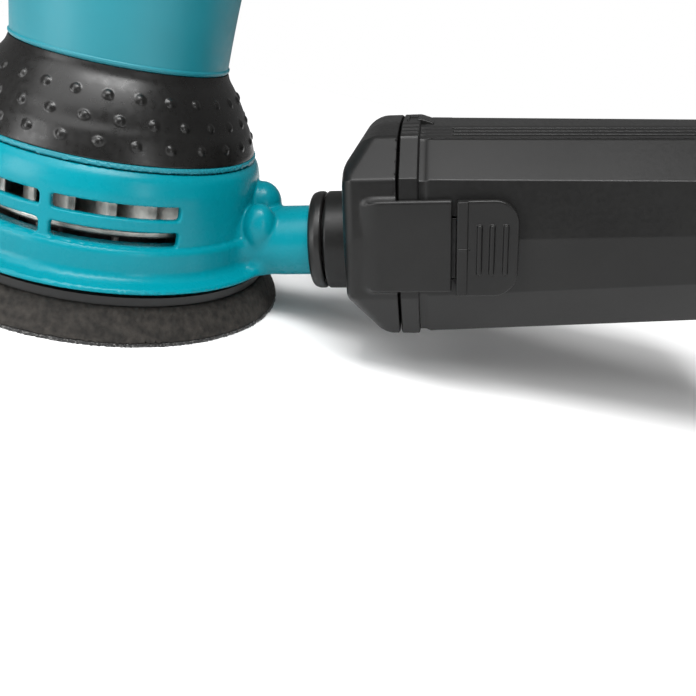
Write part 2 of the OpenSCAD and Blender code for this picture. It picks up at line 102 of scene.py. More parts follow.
def rmax(a, b, r):
    """Intersection of two fields, with a round edge of radius r."""
    return np.minimum(-r, np.maximum(a, b)) + np.hypot(np.maximum(r + a, 0), np.maximum(r + b, 0))


def rmin(a, b, r):
    """Union of two fields, with a fillet of radius r."""
    return -rmax(-a, -b, r)


def cut(a, b, r):
    return rmax(a, -b, r)


def slab(v, low, high):
    return np.maximum(low - v, v - high)


def brick(x, y, z, low, high, r):
    """A block between two corners, with round edges."""
    inner = [np.abs(v - (a + b) / 2) - (b - a) / 2 + r for v, a, b in zip((x, y, z), low, high)]
    outside = np.sqrt(sum(np.maximum(v, 0) ** 2 for v in inner))
    return outside + np.minimum(np.maximum.reduce(inner), 0) - r


def plate(u, v, low, high, r):
    """A rectangle in a plane, with round corners."""
    a = np.abs(u - (low[0] + high[0]) / 2) - (high[0] - low[0]) / 2 + r
    b = np.abs(v - (low[1] + high[1]) / 2) - (high[1] - low[1]) / 2 + r
    return np.hypot(np.maximum(a, 0), np.maximum(b, 0)) + np.minimum(np.maximum(a, b), 0) - r


def outline(u, v, points):
    """Signed distance to a closed outline."""
    nearest = np.full(u.shape, 1e9)
    inside = np.zeros(u.shape, bool)
    for (u0, v0), (u1, v1) in zip(points, points[1:] + points[:1]):
        du, dv = u1 - u0, v1 - v0
        wu, wv = u - u0, v - v0
        t = np.clip((wu * du + wv * dv) / (du * du + dv * dv), 0, 1)
        nearest = np.minimum(nearest, (wu - du * t) ** 2 + (wv - dv * t) ** 2)
        if dv:
            inside ^= ((v0 <= v) != (v1 <= v)) & (wu < du * wv / dv)
    return np.where(inside, -1.0, 1.0) * np.sqrt(nearest)


def along_nozzle(p):
    """Points in the dust box's frame: x along the nozzle, z up from its axis."""
    c, s = math.cos(NOZZLE_TILT), math.sin(NOZZLE_TILT)
    z = p[:, 2] - NOZZLE_H
    return p[:, 0] * c + z * s, p[:, 1], z * c - p[:, 0] * s


def four_fold(x, y):
    """Folds the plane so that one column stands for four, at 45 degrees."""
    return np.abs(x), np.abs(y)


def gradient(field, p, step=0.02):
    corners = np.array([[1, -1, -1], [-1, -1, 1], [-1, 1, -1], [1, 1, 1]], float)
    samples = [field(p + corner * step) for corner in corners]
    slope = sum(corner * value[:, None] for corner, value in zip(corners, samples)) / (4 * step)
    return sum(samples) / 4, slope


def settle(field, points, cell, rounds):
    """Moves points onto the surface, along the field's slope."""
    for _ in range(rounds):
        value, slope = gradient(field, points)
        size = np.maximum((slope ** 2).sum(1), 0.2)
        points = points - (np.clip(value / size, -cell, cell))[:, None] * slope
    return points


def surface(field, low, high, cell):
    """Vertices, quads and normals of the surface where the field is 0."""
    block = 8
    low = np.array(low, float)
    counts = np.ceil((np.array(high, float) - low) / (cell * block)).astype(int)
    axes = [low[i] + cell * block * (np.arange(counts[i]) + 0.5) for i in range(3)]
    centres = np.stack(np.meshgrid(*axes, indexing="ij"), -1).reshape(-1, 3)
    far = field(centres)
    near = np.abs(far) < cell * (block * 0.87 + 1)
    step = (np.arange(block) - (block - 1) / 2) * cell
    local = np.stack(np.meshgrid(step, step, step, indexing="ij"), -1).reshape(-1, 3)
    inside = np.repeat(far[:, None] < 0, block ** 3, 1)
    samples = (centres[near][:, None] + local).reshape(-1, 3)
    inside[near] = field(samples).reshape(-1, block ** 3) < 0
    inside = inside.reshape(*counts, block, block, block).transpose(0, 3, 1, 4, 2, 5)
    inside = inside.reshape(*(counts * block))

    corners = [inside[i:i - 1 or None, j:j - 1 or None, k:k - 1 or None]
               for i in (0, 1) for j in (0, 1) for k in (0, 1)]
    full = sum(corner.astype(np.int8) for corner in corners)
    mixed = (full > 0) & (full < 8)
    index = np.full(mixed.shape, -1)
    index[mixed] = np.arange(mixed.sum())
    points = low + cell * (np.argwhere(mixed) + 1.0)

    quads = []
    for axis in range(3):
        across = [(axis + 1) % 3, (axis + 2) % 3]
        solid = np.moveaxis(inside, [axis] + across, [0, 1, 2])
        cells = np.moveaxis(index, [axis] + across, [0, 1, 2])
        crossed = solid[:-1, 1:-1, 1:-1] != solid[1:, 1:-1, 1:-1]
        i, j, k = np.nonzero(crossed)
        ring = np.stack([cells[i, j, k], cells[i, j + 1, k],
                         cells[i, j + 1, k + 1], cells[i, j, k + 1]], 1)
        outward = solid[i, j + 1, k + 1]
        ring[~outward] = ring[~outward][:, ::-1]
        quads.append(ring)
    quads = np.concatenate(quads)

    points = settle(field, points, cell, 2)
    middle = points[quads].mean(1)
    total = np.zeros_like(points)
    for corner in range(4):
        np.add.at(total, quads[:, corner], middle)
    share = np.bincount(quads.ravel(), minlength=len(points))
    points = settle(field, total / np.maximum(share, 1)[:, None], cell, 2)
    slope = gradient(field, points)[1]
    normals = slope / np.maximum(np.linalg.norm(slope, axis=1), 1e-9)[:, None]
    return points, quads, normals


# ---------- meshes ----------

NOZZLE_PLACE = Matrix.Translation((0, 0, NOZZLE_H)) @ Matrix.Rotation(-NOZZLE_TILT, 4, "Y")


def link(name, mesh):
    piece = bpy.data.objects.new(name, mesh)
    bpy.context.scene.collection.objects.link(piece)
    return piece


def moulded(name, field, low, high, cell, place=None):
    """A piece made from a field."""
    points, quads, normals = surface(field, low, high, cell)
    if place is not None:
        turn = np.array(place.to_3x3())
        points = points @ turn.T + np.array(place.translation)
        normals = normals @ turn.T
    mesh = bpy.data.meshes.new(name)
    mesh.vertices.add(len(points))
    mesh.vertices.foreach_set("co", (points * MM).ravel())
    mesh.loops.add(quads.size)
    mesh.loops.foreach_set("vertex_index", quads.ravel())
    mesh.polygons.add(len(quads))
    mesh.polygons.foreach_set("loop_start", np.arange(0, quads.size, 4))
    mesh.update(calc_edges=True)
    mesh.shade_smooth()
    mesh.normals_split_custom_set_from_vertices(normals)
    return link(name, mesh)


def rounded(points, radius, steps=4):
    """A closed outline with its corners rounded."""
    result = []
    count = len(points)
    for i in range(count):
        here = np.array(points[i], float)
        before = np.array(points[i - 1], float) - here
        after = np.array(points[(i + 1) % count], float) - here
        lengths = np.linalg.norm(before), np.linalg.norm(after)
        reach = min(radius, lengths[0] * 0.45, lengths[1] * 0.45)
        start = here + before / lengths[0] * reach
        end = here + after / lengths[1] * reach
        for t in np.linspace(0, 1, steps):
            result.append(tuple((1 - t) ** 2 * start + 2 * t * (1 - t) * here + t ** 2 * end))
    return result


def curve(points, steps=6):
    """A smooth open curve through the points."""
    points = [np.array(p, float) for p in points]
    ends = [2 * points[0] - points[1]] + points + [2 * points[-1] - points[-2]]
    result = []
    for a, b, c, d in zip(ends, ends[1:], ends[2:], ends[3:]):
        for t in np.linspace(0, 1, steps, endpoint=False):
            result.append(tuple(0.5 * (2 * b + (c - a) * t + (2 * a - 5 * b + 4 * c - d) * t ** 2
                                       + (3 * b - a - 3 * c + d) * t ** 3)))
    return result + [tuple(points[-1])]


def mesh_of(name, points, faces, sharp=35):
    mesh = bpy.data.meshes.new(name)
    mesh.from_pydata([tuple(c * MM for c in p) for p in points], [], faces)
    bm = bmesh.new()
    bm.from_mesh(mesh)
    bmesh.ops.remove_doubles(bm, verts=bm.verts, dist=1e-7)
    bmesh.ops.recalc_face_normals(bm, faces=bm.faces)
    bm.to_mesh(mesh)
    bm.free()
    mesh.shade_smooth()
    mesh.set_sharp_from_angle(angle=math.radians(sharp))
    return link(name, mesh)


def lathe(name, profile, steps=192, centre=(0, 0), push=None, place=None, sharp=35):
    """A turned piece. push moves its points, given their radius, height and angle."""
    angles = np.linspace(0, 2 * math.pi, steps, endpoint=False)
    profile = np.array(profile, float)
    r = np.repeat(profile[:, 0], steps)
    z = np.repeat(profile[:, 1], steps)
    a = np.tile(angles, len(profile))
    points = np.stack([r * np.cos(a), r * np.sin(a), z], 1)
    if push is not None:
        points = push(points, r, z, a)
    points[:, 0] += centre[0]
    points[:, 1] += centre[1]
    if place is not None:
        points = points @ np.array(place.to_3x3()).T + np.array(place.translation)
    count = len(profile)
    faces = [(i * steps + j, i * steps + (j + 1) % steps,
              (i + 1) % count * steps + (j + 1) % steps, (i + 1) % count * steps + j)
             for i in range(count) for j in range(steps)]
    piece = mesh_of(name, points, faces, sharp)
    even_shading(piece)
    return piece


def even_shading(piece):
    modifier = piece.modifiers.new("even_shading", "WEIGHTED_NORMAL")
    modifier.keep_sharp = True


def soften(piece, width, segments=2, angle=30):
    """Rounds a piece's hard edges. Coplanar triangles are joined first."""
    flat = piece.modifiers.new("flat_faces", "DECIMATE")
    flat.decimate_type = "DISSOLVE"
    flat.angle_limit = math.radians(1)
    bevel = piece.modifiers.new("round_edges", "BEVEL")
    bevel.width = width * MM
    bevel.segments = segments
    bevel.limit_method = "ANGLE"
    bevel.angle_limit = math.radians(angle)
    bevel.harden_normals = True


def carve(piece, tool_bmesh):
    """Cuts a tool's shape out of a piece and applies the cut."""
    mesh = bpy.data.meshes.new("tool")
    tool_bmesh.to_mesh(mesh)
    tool_bmesh.free()
    tool = link("tool", mesh)
    modifier = piece.modifiers.new("carve", "BOOLEAN")
    modifier.object = tool
    modifier.operation = "DIFFERENCE"
    modifier.solver = "EXACT"
    modifier.use_self = True
    while piece.modifiers[0] != modifier:
        piece.modifiers.move(len(piece.modifiers) - 1, 0)
    bpy.context.view_layer.update()
    bare = [m for m in piece.modifiers if m != modifier]
    for other in bare:
        other.show_viewport = False
    evaluated = piece.evaluated_get(bpy.context.evaluated_depsgraph_get())
    result = bpy.data.meshes.new_from_object(evaluated)
    piece.modifiers.remove(modifier)
    for other in bare:
        other.show_viewport = True
    piece.data = result
    bpy.data.objects.remove(tool)


def give(piece, body, slot_name, *nodes, material=None):
    """Puts a piece on its body, with its slot's finish, and hides the CAD nodes it stands for."""
    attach(piece, body)
    if nodes:
        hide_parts(*nodes)
    piece.data.materials.clear()
    piece.data.materials.append(material or FINISHES[slot_name])
    return piece


# ---------- materials ----------

def new_material(name, color, roughness, metallic=0.0, specular=0.5, sheen=0.0):
    material = bpy.data.materials.new(name)
    material.use_nodes = True
    shader = material.node_tree.nodes["Principled BSDF"]
    shader.inputs["Base Color"].default_value = (*color, 1)
    shader.inputs["Roughness"].default_value = roughness
    shader.inputs["Metallic"].default_value = metallic
    shader.inputs["Specular IOR Level"].default_value = specular
    shader.inputs["Sheen Weight"].default_value = sheen
    return material


def noise(material, scale, detail=3.0, stretch=(1, 1, 1)):
    """A noise texture in object space, scale per metre."""
    tree = material.node_tree
    place = tree.nodes.new("ShaderNodeTexCoord")
    spread = tree.nodes.new("ShaderNodeMapping")
    spread.inputs["Scale"].default_value = stretch
    texture = tree.nodes.new("ShaderNodeTexNoise")
    texture.inputs["Scale"].default_value = scale
    texture.inputs["Detail"].default_value = detail
    tree.links.new(place.outputs["Object"], spread.inputs["Vector"])
    tree.links.new(spread.outputs["Vector"], texture.inputs["Vector"])
    return texture.outputs["Fac"]


def opaque(color):
    """A colour with its alpha; a single number is a grey level."""
    return (*color, 1) if isinstance(color, tuple) else (color,) * 3 + (1,)


def ramp(material, factor, low, high, start=0.3, end=0.7):
    """Blends between two colours or grey levels."""
    tree = material.node_tree
    node = tree.nodes.new("ShaderNodeValToRGB")
    node.color_ramp.elements[0].position = start
    node.color_ramp.elements[1].position = end
    node.color_ramp.elements[0].color = opaque(low)
    node.color_ramp.elements[1].color = opaque(high)
    tree.links.new(factor, node.inputs["Fac"])
    return node.outputs["Color"]


def bumped(material, height, strength, distance):
    """Adds a bump below any that the material already has."""
    tree = material.node_tree
    shader = tree.nodes["Principled BSDF"]
    bump = tree.nodes.new("ShaderNodeBump")
    bump.inputs["Strength"].default_value = strength
    bump.inputs["Distance"].default_value = distance * MM
    tree.links.new(height, bump.inputs["Height"])
    if shader.inputs["Normal"].links:
        tree.links.new(shader.inputs["Normal"].links[0].from_socket, bump.inputs["Normal"])
    tree.links.new(bump.outputs["Normal"], shader.inputs["Normal"])


def tint(material, low, high, scale, start=0.35, end=0.65, stretch=(1, 1, 1)):
    color = ramp(material, noise(material, scale, stretch=stretch), low, high, start, end)
    shader = material.node_tree.nodes["Principled BSDF"]
    material.node_tree.links.new(color, shader.inputs["Base Color"])


def worn(material, low, high, scale):
    level = ramp(material, noise(material, scale), low, high)
    shader = material.node_tree.nodes["Principled BSDF"]
    material.node_tree.links.new(level, shader.inputs["Roughness"])


def shade(color, factor):
    return tuple(c * factor for c in color)


def moulded_nylon(name, color, roughness, specular):
    material = new_material(name, color, roughness, specular=specular)
    tint(material, shade(color, 0.94), shade(color, 1.05), 35)
    worn(material, roughness - 0.03, roughness + 0.05, 300)
    bumped(material, noise(material, 90, 2), 0.12, 0.25)
    bumped(material, noise(material, 2600, 2), 0.05, 0.03)
    return material


def grip_rubber(name, level, roughness, grain):
    color = (level, level * 0.97, level * 0.93)
    material = new_material(name, color, roughness, specular=0.35)
    tint(material, shade(color, 0.85), shade(color, 1.15), 60)
    worn(material, roughness - 0.05, roughness + 0.07, 500)
    bumped(material, noise(material, 3200, 3), grain, 0.05)
    return material


def spark_plastic(name, level, roughness, specular=0.3):
    color = (level, level * 0.99, level * 0.97)
    material = new_material(name, color, roughness, specular=specular)
    tint(material, shade(color, 0.88), shade(color, 1.12), 45)
    worn(material, roughness - 0.05, roughness + 0.06, 900)
    bumped(material, noise(material, 4200, 2), 0.16, 0.04)
    return material


def foam():
    material = new_material("pad_foam", (0.022, 0.020, 0.018), 0.85, specular=0.25)
    tint(material, (0.012, 0.011, 0.010), (0.036, 0.032, 0.028), 420, 0.3, 0.75)
    bumped(material, noise(material, 900, 5), 0.6, 0.35)
    bumped(material, noise(material, 3500, 2), 0.35, 0.1)
    return material


def hook_fabric():
    material = new_material("hook_fabric", (0.03, 0.03, 0.03), 0.8, sheen=0.3)
    tint(material, (0.008, 0.008, 0.008), (0.22, 0.215, 0.205), 1900, 0.56, 0.68)
    bumped(material, noise(material, 2400, 2), 0.9, 0.4)
    return material


def cast_metal(name, color, roughness):
    material = new_material(name, color, roughness, metallic=1.0)
    tint(material, shade(color, 0.75), shade(color, 1.1), 260)
    bumped(material, noise(material, 1300, 4), 0.5, 0.15)
    return material


def turned_steel(name, level, roughness):
    color = (level, level, level * 1.03)
    material = new_material(name, color, roughness, metallic=1.0)
    worn(material, roughness - 0.06, roughness + 0.08, 700)
    bumped(material, noise(material, 500, 2, (1, 1, 9)), 0.12, 0.03)
    return material


def winding():
    color = (0.5, 0.19, 0.07)
    material = new_material("enamelled_copper", color, 0.35, metallic=0.8)
    tint(material, shade(color, 0.6), shade(color, 1.15), 300, stretch=(1, 1, 12))
    bumped(material, noise(material, 320, 1, (1, 1, 8)), 0.6, 0.3)
    return material


def board():
    material = new_material("circuit_board", (0.02, 0.13, 0.05), 0.35)
    tint(material, (0.01, 0.09, 0.035), (0.03, 0.17, 0.07), 900, 0.48, 0.52)
    return material


def paper():
    material = new_material("filter_paper", (0.6, 0.55, 0.45), 0.9)
    tint(material, (0.52, 0.47, 0.38), (0.66, 0.61, 0.52), 220)
    bumped(material, noise(material, 2600, 4), 0.5, 0.1)
    return material


FINISHES = {
    "teal_housing": moulded_nylon("teal_nylon", (0.0, 0.2, 0.25), 0.27, 0.17),
    "studded_rubber": grip_rubber("ring_rubber", 0.0075, 0.3, 0.06),
    "soft_rubber": grip_rubber("palm_rubber", 0.018, 0.5, 0.3),
    "black_rubber": grip_rubber("seal_rubber", 0.007, 0.36, 0.12),
    "dark_plastic": spark_plastic("dark_plastic", 0.014, 0.42),
    "box_plastic": spark_plastic("box_plastic", 0.0075, 0.36, 0.25),
    "switch_black": spark_plastic("switch_plastic", 0.012, 0.3),
    "dial_grey": spark_plastic("dial_plastic", 0.45, 0.45),
    "pad_foam": foam(),
    "hook_fabric": hook_fabric(),
    "cast_aluminium": cast_metal("cast_aluminium", (0.62, 0.6, 0.56), 0.45),
    "cast_iron": cast_metal("cast_iron", (0.2, 0.2, 0.21), 0.55),
    "brass": turned_steel("brass", 0.6, 0.35),
    "steel": turned_steel("ground_steel", 0.6, 0.28),
    "screw_steel": turned_steel("zinc_steel", 0.5, 0.38),
    "laminated_steel": turned_steel("laminated_steel", 0.3, 0.45),
    "copper": winding(),
    "carbon": spark_plastic("carbon", 0.03, 0.6),
    "circuit_board": board(),
    "filter_paper": paper(),
}
BARREL_NYLON = moulded_nylon("barrel_nylon", (0.008, 0.19, 0.238), 0.42, 0.45)
brass = FINISHES["brass"].node_tree.nodes["Principled BSDF"]
brass.inputs["Base Color"].default_value = (0.7, 0.5, 0.2, 1)


def finish_cad_nodes():
    """Every carried-over CAD node takes its slot's finish and gets round edges."""
    for entry in frame["record"]["subparts"]:
        piece = frame["nodes"][entry["node"]]
        piece.data.materials.clear()
        piece.data.materials.append(FINISHES[entry["material_slot"]])
        soften(piece, 0.25)


# ---------- motor body ----------

BARREL = curve([(33.2, 76.4), (33.5, 84), (34.3, 97), (36, 115), (39, 128.2)])
BELL = [(43.4, 50.6), (42.9, 52.5), (41.9, 55.5), (39.3, 61), (36.3, 66.2), (33.2, 71.2),
        (32.2, 74.4)]
HOUSING_OUTLINE = ([(42.1, 49), (46.1, 49), (46.1, 50.4)] + BELL + [(33.2, 74.6)] + BARREL
                   + [(36.6, 128.2), (33.6, 115), (31.9, 97), (30.2, 90), (30.2, 66.5),
                      (33.6, 62), (37, 57.5), (39.4, 53), (40.4, 51.4), (42.1, 51.4)])
BRUSH_Z = 118.0
HEAD_R = 31.5 * math.sqrt(0.5)
BASE_SCREW_R = 34.5 * math.sqrt(0.5)


def motor_housing():
    cap_r = 6.5

    def field(p):
        x, y, z = p.T
        r = np.hypot(x, y)
        body = rmax(outline(r, z, HOUSING_OUTLINE), slab(z, 48, 128.2), 0.5)
        brush = np.hypot(x, z - BRUSH_Z)
        boss = rmax(brush - 8.6, slab(np.abs(y), 30.6, 35.6), 0.5)
        fx, fy = four_fold(x, y)
        column = rmax(np.hypot(fx - HEAD_R, fy - HEAD_R) - 4, slab(z, 117, 128.2), 0.5)
        screw_boss = rmax(np.hypot(fx - BASE_SCREW_R, fy - BASE_SCREW_R) - 3.6,
                          slab(z, 51.3, 61), 0.5)
        along = (fx + fy) * math.sqrt(0.5)
        arm = rmax(np.abs(fx - fy) * math.sqrt(0.5) - 2.5,
                   np.maximum(slab(z, 124.6, 128.2), slab(along, 12.8, 33)), 0.4)
        seat = rmax(r - 14, slab(z, 124.6, 140.8), 0.4)
        for added in (boss, column, screw_boss, arm, seat):
            body = rmin(body, added, 0.8)
        body = cut(body, np.maximum(r - 11, slab(z, 120, 142)), 0.4)
        body = cut(body, np.maximum(np.hypot(fx - HEAD_R, fy - HEAD_R) - 2, 118 - z), 0.3)
        return cut(body, np.maximum(brush - cap_r, 30 - np.abs(y)), 0.5)

    piece = moulded("motor_barrel", field, (-48, -48, 47), (48, 48, 142), 0.85)
    give(piece, "machine", "teal_housing", "motor_housing", material=BARREL_NYLON)


def barrel_rim():
    """The thin bead round the barrel's foot, above the rubber ring."""
    profile = rounded([(32.6, 74.45), (33.2, 74.45), (33.2, 74.75), (33.6, 74.85), (33.65, 75.6),
                       (33.3, 75.9), (32.6, 75.9)], 0.15)
    piece = lathe("barrel_rim", profile, 256)
    give(piece, "machine", "teal_housing", material=BARREL_NYLON)


STUD_ROWS = [(67.3, 27, -86.9), (61.2, 27, -81.4), (55.3, 27, -88.3)]
STUD_R = 1.4
STUD_H = 0.6


def grip_ring():
    outer = curve([(33.4, 74.2), (34.4, 71.9), (36.4, 69.2), (38.3, 66.3), (40.1, 63.2),
                   (41.6, 60.1), (43.1, 57.4), (44.3, 54.4), (45.2, 51.9)], 10)
    edge = [(45.5, 51.0), (45.45, 50.7), (45.2, 50.62)]
    inner = [(43.5, 50.62)] + [(r + 0.02, z) for r, z in BELL[1:-1]] + [(32.4, 74.2)]
    profile = outer + edge + inner
    skin = len(outer)
    slope = np.gradient(np.array(outer), axis=0)
    slope /= np.linalg.norm(slope, axis=1)[:, None]
    steps = 560

    def push(points, r, z, a):
        row_index = np.repeat(np.arange(len(profile)), steps)
        rise = np.zeros(len(points))
        for height, count, start in STUD_ROWS:
            pitch = 2 * math.pi / count
            turn = (a - math.radians(start) + pitch / 2) % pitch - pitch / 2
            centre_r = np.interp(height, [q[1] for q in outer][::-1], [q[0] for q in outer][::-1])
            off = np.sqrt((turn * centre_r) ** 2 + (z - height) ** 2 + (r - centre_r) ** 2)
            dome = np.clip(1 - (off / STUD_R) ** 2, 0, 1) ** 0.6
            rise = np.maximum(rise, dome * STUD_H)
        rise[row_index >= skin] = 0
        index = np.minimum(row_index, skin - 1)
        out = np.stack([-slope[index, 1], slope[index, 0]], 1)
        points[:, 0] += rise * out[:, 0] * np.cos(a)
        points[:, 1] += rise * out[:, 0] * np.sin(a)
        points[:, 2] += rise * out[:, 1]
        return points

    piece = lathe("grip_ring_rubber", profile, steps, push=push, sharp=60)
    give(piece, "machine", "studded_rubber", "grip_ring")


# ---------- base ----------

SLOT_ROWS = [(27.3, 31.9), (35.6, 39.7)]
SLOT_FROM = 1.9
SLOT_SPAN = 43.5
SEAT_R = LIP_R - 5.5
WALL_R = 49.0
FLARE = [(54.4 - 3.2 * math.cos(math.radians(a)), 20.6 - 3.2 * math.sin(math.radians(a)))
         for a in range(90, -1, -10)]
BASE_OUTLINE = ([(0, LIP_Z), (LIP_R - 0.3, LIP_Z), (LIP_R, LIP_Z + 0.4), (LIP_R, LIP_Z + 0.9),
                 (LIP_R - 0.7, LIP_Z + 1.6)] + FLARE
                + [(51.0, 25.0), (50.8, 26.0), (50.3, 26.7), (49.6, 27.0), (49.3, 27.6)]
                + curve([(49.2, 30), (48.9, 41), (48.3, 44.5), (47.4, 46.9), (46, BASE_TOP)])
                + [(0, BASE_TOP)])
FAN_ROOM = [(0, 27), (46.9, 27), (46.4, 41), (44.2, 45.6), (0, 45.6)]
DUST_ROOM = [(0, 10), (SEAT_R, 10), (SEAT_R, 16.8), (48.6, 18.2), (47.2, 25.2), (0, 25.2)]
LOBES = [((53.2, -7.6, 31.0), (5.8, 5.8, 8.0)), ((51.0, 3.8, 36.0), (6.8, 6.8, 7.6))]


def base_housing():
    def field(p):
        x, y, z = p.T
        r = np.hypot(x, y)
        nx, ny, nz = along_nozzle(p)
        nr = np.hypot(ny, nz)
        skin = outline(r, z, BASE_OUTLINE)
        pipe = rmax(nr - NOZZLE_R, slab(nx, 40, NOZZLE_END), 0.7)
        body = rmin(skin, pipe, 5)
        for centre, radii in LOBES:
            q = [(v - c) / s for v, c, s in zip((x, y, z), centre, radii)]
            lobe = (np.sqrt(q[0] ** 2 + q[1] ** 2 + q[2] ** 2) - 1) * min(radii)
            body = rmin(body, lobe, 1.1)
        body = rmax(body, LIP_Z - z, 0.4)
        body = cut(body, outline(r, z, FAN_ROOM), 0.5)
        body = cut(body, outline(r, z, DUST_ROOM), 0.5)
        body = cut(body, np.maximum(r - 43.3, slab(z, 20, 28)), 0.4)
        body = cut(body, np.maximum(r - 30.5, 40 - z), 0.5)
        bore = np.maximum(nr - NOZZLE_R + 2.4, LIP_Z + 2 - z)
        body = cut(body, np.maximum(bore, slab(nx, 51, 120)), 0.6)
        body = cut(body, np.maximum(bore, np.maximum(z - 25.2, slab(nx, 40, 52))), 0.4)
        fx, fy = four_fold(x, y)
        body = cut(body, np.maximum(np.hypot(fx - BASE_SCREW_R, fy - BASE_SCREW_R) - 2,
                                    40 - z), 0.3)
        along = np.abs(np.arctan2(x, np.abs(y))) * WALL_R
        ends = [math.radians(v) * WALL_R for v in (SLOT_FROM, SLOT_FROM + SLOT_SPAN)]
        for low, high in SLOT_ROWS:
            slot = plate(along, z, (ends[0], low), (ends[1], high), 1.1)
            body = cut(body, np.maximum(slot, 44 - r), 0.5)
        return body

    piece = moulded("base_casting", field, (-59, -59, 14), (104, 59, 50), 0.72)
    give(piece, "machine", "teal_housing", "base_housing", "dust_nozzle")


def brake_ring():
    seat = SEAT_R
    profile = rounded([(seat - 4.2, 13.4), (seat - 0.6, 13.4), (seat, LIP_Z), (seat, 16.6),
                       (seat - 2.7, 16.6), (seat - 2.7, LIP_Z), (seat - 4.2, 15)], 0.4)
    piece = lathe("brake_lip", profile, 192)
    give(piece, "machine", "black_rubber", "brake_ring")


# ---------- pad ----------

HOLE_R = 5.0
HOLE_PCD_R = 32.5
RECESS_R = 8.0


def hole_distance(x, y):
    """Distance to the wall of the nearest dust hole."""
    a = np.arctan2(y, x)
    turn = a - (np.floor(a / (math.pi / 4)) + 0.5) * (math.pi / 4)
    r = np.hypot(x, y)
    return np.hypot(r * np.cos(turn) - HOLE_PCD_R, r * np.sin(turn)) - HOLE_R


def foam_pad():
    top_r = 55.8
    section = [(RECESS_R, HOOK_T), (PAD_R - 0.2, HOOK_T), (PAD_R - 0.5, HOOK_T + 1.2),
               (top_r + 0.4, FOAM_TOP - 0.8), (top_r - 0.6, FOAM_TOP), (RECESS_R, FOAM_TOP)]

    def field(p):
        x, y, z = p[:, 0], p[:, 1] - PAD_Y, p[:, 2]
        ripple = 0.10 * np.sin(x * 1.9 + 3 * np.sin(z * 1.1)) * np.sin(y * 2.3 + x * 0.7)
        body = outline(np.hypot(x, y), z, section) + 0.12 + ripple
        return cut(body, np.maximum(hole_distance(x, y), -1 - z), 0.3)

    piece = moulded("foam_disc", field, (-63, -62, 0), (63, 64, 12), 0.8)
    give(piece, "pad", "pad_foam", "foam_pad")


def hook_face():
    """The hook layer: a thin ring with a ragged edge, with the dust holes cut through."""
    steps = 900
    ragged = rng.uniform(-0.6, 0.0, (3, steps))
    drop = rng.uniform(0.0, 0.35, steps)
    profile = [(RECESS_R, 0.0), (PAD_R - 6, 0.0), (PAD_R - 0.9, 0.0), (PAD_R, 0.25),
               (PAD_R, HOOK_T * 0.7), (PAD_R - 0.2, HOOK_T), (RECESS_R, HOOK_T)]

    def push(points, r, z, a):
        row = np.repeat(np.arange(len(profile)), steps)
        column = np.tile(np.arange(steps), len(profile))
        for i, level in enumerate((3, 4, 5)):
            mine = row == level
            scale = 1 + ragged[i][column[mine]] / PAD_R
            points[mine, :2] *= scale[:, None]
        low = row == 3
        points[low, 2] -= drop[column[low]] * 0.6
        return points

    piece = lathe("hook_layer", profile, steps, (0, PAD_Y), push, sharp=50)
    drill = bmesh.new()
    for i in range(8):
        a = math.radians(22.5 + 45 * i)
        place = Matrix.Translation((HOLE_PCD_R * math.cos(a) * MM,
                                    (PAD_Y + HOLE_PCD_R * math.sin(a)) * MM, 0))
        bmesh.ops.create_cone(drill, cap_ends=True, segments=48, radius1=HOLE_R * MM,
                              radius2=HOLE_R * MM, depth=6 * MM, matrix=place)
    carve(piece, drill)
    give(piece, "pad", "hook_fabric", "hook_face")


# ---------- rotor ----------

def cooling_fan():
    """The disc, with swept blades above it and short ribs below."""
    disc_z, disc_t, fan_r = 27.6, 2.2, 42.5
    blades, blade_t, blade_top = 22, 1.6, 41.2
    sweep = 0.035

    def field(p):
        x, y, z = p.T
        r = np.hypot(x, y)
        disc = rmax(r - fan_r, slab(z, disc_z, disc_z + disc_t), 0.6)
        hub = rmax(r - 12, slab(z, disc_z, 36), 0.6)
        pitch = 2 * math.pi / blades
        a = np.arctan2(y, x) - sweep * (r - fan_r)
        turn = (a + pitch / 2) % pitch - pitch / 2
        slant = np.hypot(1, sweep * r)
        blade = rmax(np.abs(turn * r) / slant - blade_t / 2,
                     np.maximum(slab(r, 22, fan_r - 0.9), slab(z, disc_z, blade_top)), 0.5)
        wide = 2 * pitch
        turn = (np.arctan2(y, x) + wide / 2) % wide - wide / 2
        rib = rmax(np.abs(turn * r) - blade_t / 2,
                   np.maximum(slab(r, 31, fan_r - 1.5), slab(z, 19, disc_z + 1)), 0.5)
        body = rmin(rmin(disc, hub, 0.8), rmin(blade, rib, 0.1), 0.8)
        return cut(body, r - 6, 0.3)

    piece = moulded("fan_wheel", field, (-44, -44, 18), (44, 44, 42.5), 0.8)
    give(piece, "rotor", "cast_aluminium", "cooling_fan")


# ---------- head ----------

HEAD_SKIN = curve([(39, 128.4), (41.4, 132), (42.4, 136), (42.4, 140.2), (41.2, 144),
                   (38.4, 147), (33, 149), (20, 149.8), (0, 150)])
HEAD_ROOM = [(0, 120), (36.6, 120), (36.6, 128.4), (39, 132), (40, 137), (39.9, 140.4),
             (38.4, 144), (35.8, 146), (32.4, 147), (0, 147.6)]


